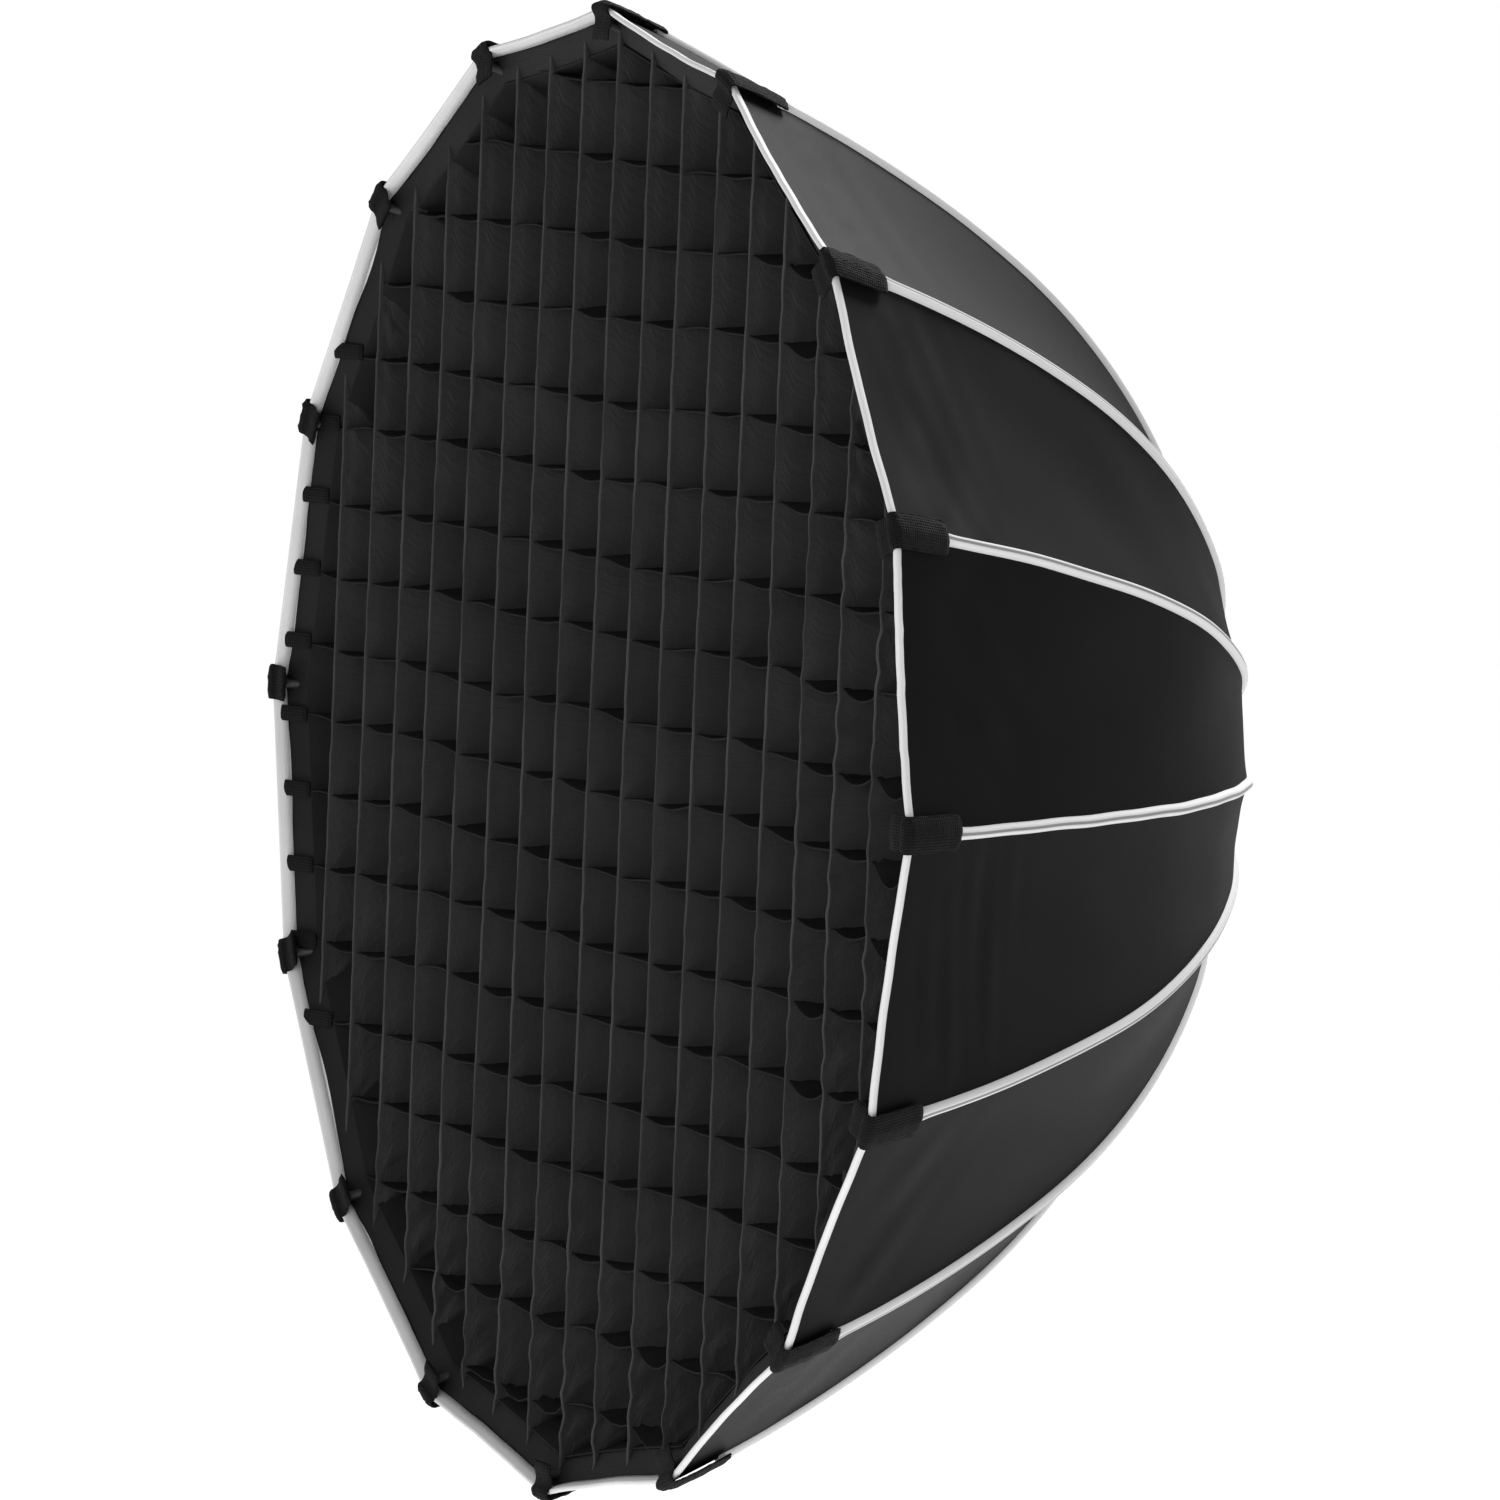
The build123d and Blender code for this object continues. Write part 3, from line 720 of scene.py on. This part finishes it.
def make_tabs():
    """Hook-and-loop tabs: from the hem, round the rim at each rib and back along the seam."""
    leg = np.linspace(0.0, TAB_END, 14)
    nose = np.linspace(0, math.pi, 9)
    lift_out, lift_in = 3.2 * MM, -4.6 * MM
    middle, half = (lift_out + lift_in) / 2, (lift_out - lift_in) / 2
    path = [(d, lift_out + 0.5 * MM * math.sin(math.pi * min(d / TAB_END, 1))) for d in leg[::-1]]
    path += [(-3.2 * MM * math.sin(a), middle + half * math.cos(a)) for a in nose[1:]]
    path += [(1.5 * MM, lift_in - 1.5 * MM), (3.0 * MM, -9.0 * MM)]
    path += [(3.6 * MM, -14.0 * MM), (5.5 * MM, -19.0 * MM)]
    path = np.array(path)
    section = flat_loop(TAB_HALF, 2.4 * MM, 0.3, 13)
    step = np.gradient(path, axis=0)
    step /= np.linalg.norm(step, axis=1)[:, None]
    normal = np.stack([step[:, 1], -step[:, 0]], axis=1)
    outside = np.clip(path[:, 1:2] / lift_out, 0, 1)
    droop = -math.tan(HALF) * np.abs(section[None, :, 0]) * 0.85 * outside
    stitched = np.exp(-(((path[:, :1] - TAB_END + 0.004) / 0.0022) ** 2))
    ridge = 0.7 * MM * stitched * (section[None, :, 1] > 0)
    taper = np.interp(np.arange(len(path)), [0, 1, 2, 3], [0.86, 0.95, 0.99, 1.0])[:, None]
    for index, angle in enumerate(RIB_ANGLES):
        fuzz = 0.22 * MM * RNG.normal(size=(len(path), len(section)))
        push = section[None, :, 1] + droop + fuzz + ridge
        distance = path[:, :1] + normal[:, :1] * push
        lift = path[:, 1:2] + normal[:, 1:] * push
        radius, y = seam(distance, lift)
        shift = 1.2 * MM * RNG.normal()
        rings = in_rib_plane(angle, radius, y, section[None, :, 0] * taper + shift)
        tab = make_tube(f"grid_tab_{index + 1:02d}", rings, [MATERIALS["hook"]])
        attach(tab, "grid")
        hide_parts("grid_tabs")


# ---------------------------------------------------------------- diffusers


def cloth_disc(name, corner_radius, y, bulge, edge_depth, body, node, seed):
    """Stretched sixteen-sided cloth with a turned edge, slightly puckered towards its corners."""
    share = np.linspace(0.0, 1.0, 26)[1:, None]
    around = RIB_COUNT * 10
    turn = np.arange(around) * 2 * math.pi / around
    within = (turn + math.pi / 2) % STEP - HALF
    outline = math.cos(HALF) / np.cos(within)
    radius = corner_radius * share * outline[None, :]
    x, z = radius * np.cos(turn), radius * np.sin(turn)
    place = np.stack([x, z], axis=-1)
    pucker = 0.8 * MM * smooth_noise(place, seed, 0.06) * share**6
    pucker = pucker + 1.2 * MM * smooth_noise(place, seed + 1, 0.3)
    depth = y + bulge * (1 - share**2) + pucker
    front = np.stack([x, depth, z], axis=-1)
    lip = []
    for drop in (0.3, 1.0):
        ring = front[-1].copy()
        ring[:, 1] -= edge_depth * drop
        lip.append(ring)
    top = np.concatenate([front.reshape(-1, 3), np.concatenate(lip)])
    bottom = top.copy()
    bottom[:, 1] += DIFFUSER_THICK
    bottom[-2 * around :, [0, 2]] *= 1 - DIFFUSER_THICK / corner_radius
    rings = len(share) + 2
    hub = depth[0].mean()
    centre = np.array([[0.0, hub, 0.0], [0.0, hub + DIFFUSER_THICK, 0.0]])
    points = np.concatenate([top, bottom, centre])
    count = rings * around
    faces = sheet_faces(rings, around, wrap=True)
    back = [tuple(v + count for v in face[::-1]) for face in faces]
    last = (rings - 1) * around
    pairs = [(last + c, last + (c + 1) % around) for c in range(around)]
    edge = [(a + count, b + count, b, a) for a, b in pairs]
    fans = [(2 * count, (c + 1) % around, c) for c in range(around)]
    fans += [(2 * count + 1, count + c, count + (c + 1) % around) for c in range(around)]
    faces = faces + back + edge + fans
    disc = make_piece(name, points, faces, [MATERIALS["diffusion"]], points[:, [0, 2]])
    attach(disc, body)
    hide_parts(node)


def make_diffusers():
    """Front diffuser inside the rim behind the grid, inner diffuser on elastic straps."""
    front_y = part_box("front_diffuser")[1].y
    name = "front_diffuser"
    cloth_disc("front_diffuser_cloth", FRONT_CORNER, front_y, FRONT_BULGE, FRONT_LIP, name, name, 801)
    inner_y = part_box("inner_diffuser")[0].y
    name = "inner_diffuser"
    cloth_disc("inner_diffuser_cloth", INNER_CORNER, inner_y, INNER_BULGE, INNER_LIP, name, name, 811)
    section = flat_loop(STRAP_HALF, STRAP_THICK)
    share = np.linspace(0, 1, 12)[:, None]
    radius = STRAP_START + STRAP_LENGTH * share
    y = inner_y - 0.4 * MM - 2.0 * MM * np.sin(share * math.pi)
    for index, angle in enumerate(RIB_ANGLES):
        rings = in_rib_plane(angle, radius, y + section[None, :, 1], section[None, :, 0])
        strap = make_tube(f"diffuser_strap_{index + 1:02d}", rings, [MATERIALS["elastic"]])
        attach(strap, "inner_diffuser")


# ---------------------------------------------------------------- carried-over CAD nodes


def dress_nodes():
    """Give the CAD nodes that stay their finished materials."""
    finishes = {"rod_holder": "nylon", "rod_": "rod", "hub_screws": "steel", "hub_": "housing"}
    finishes.update({"hinge_pins": "steel", "latch": "steel", "mount": "mount", "release": "grip"})
    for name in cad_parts:
        node = bpy.data.objects.get(name)
        kind = next((finish for start, finish in finishes.items() if name.startswith(start)), None)
        if node is None or kind is None or node.hide_render:
            continue
        for holder in node.material_slots:
            holder.material = MATERIALS[kind]


# ---------------------------------------------------------------- stage


def add_area(name, place, aim, size, power):
    """Soft rectangular light aimed at a point."""
    data = bpy.data.lights.new(name, "AREA")
    data.shape, data.size, data.size_y, data.energy = "RECTANGLE", *size, power
    light = bpy.data.objects.new(name, data)
    light.location = place
    light.rotation_euler = (Vector(aim) - Vector(place)).to_track_quat("-Z", "Y").to_euler()
    bpy.context.scene.collection.objects.link(light)


def make_stage():
    """Camera at the three-quarter view, pale floor and soft lights."""
    scene = bpy.context.scene
    middle = Vector((0.0, RIM_Y, 0.0))
    aim = middle + Vector(AIM_OFFSET)
    level = math.cos(CAMERA_ELEVATION)
    away = (level * math.cos(CAMERA_AZIMUTH), level * math.sin(CAMERA_AZIMUTH), math.sin(CAMERA_ELEVATION))
    away = Vector(away)
    camera = bpy.data.objects.new("camera", bpy.data.cameras.new("camera"))
    camera.data.lens, camera.data.sensor_width, camera.data.clip_end = CAMERA_LENS, CAMERA_SENSOR, CAMERA_FAR
    turned = (-away).to_track_quat("-Z", "Y").to_matrix() @ Matrix.Rotation(CAMERA_ROLL, 3, "Z")
    camera.matrix_world = Matrix.Translation(aim + away * CAMERA_DISTANCE) @ turned.to_4x4()
    scene.collection.objects.link(camera)
    scene.camera = camera

    floor_mesh = bpy.data.meshes.new("floor")
    corners = [(FLOOR_HALF * x, FLOOR_HALF * y, FLOOR_LEVEL) for x, y in ((-1, -1), (1, -1), (1, 1), (-1, 1))]
    floor_mesh.from_pydata(corners, [], [(0, 1, 2, 3)])
    floor = bpy.data.objects.new("floor", floor_mesh)
    scene.collection.objects.link(floor)
    paint, _, shader = new_material("floor_paint", (0.9, 0.9, 0.9), 0.9, 0.1)
    shader.inputs["Emission Color"].default_value = (1, 1, 1, 1)
    shader.inputs["Emission Strength"].default_value = FLOOR_GLOW
    floor_mesh.materials.append(paint)

    world = bpy.data.worlds.new("studio")
    scene.world = world
    world.use_nodes = True
    background = world.node_tree.nodes["Background"]
    background.inputs["Color"].default_value = (1, 1, 1, 1)
    background.inputs["Strength"].default_value = WORLD_STRENGTH

    add_area("key_light", middle + Vector(KEY_PLACE), middle, KEY_SIZE, KEY_POWER)
    add_area("rear_light", middle + Vector(REAR_PLACE), middle, REAR_SIZE, REAR_POWER)
    scene.view_settings.view_transform = "Standard"


panels, bindings, tapes = make_panels(), make_bindings(), make_piping()
make_pockets()
make_ribbons()
make_edge_band()
make_hem()
make_end_loops()
make_tabs()
make_diffusers()
dress_nodes()
make_stage()
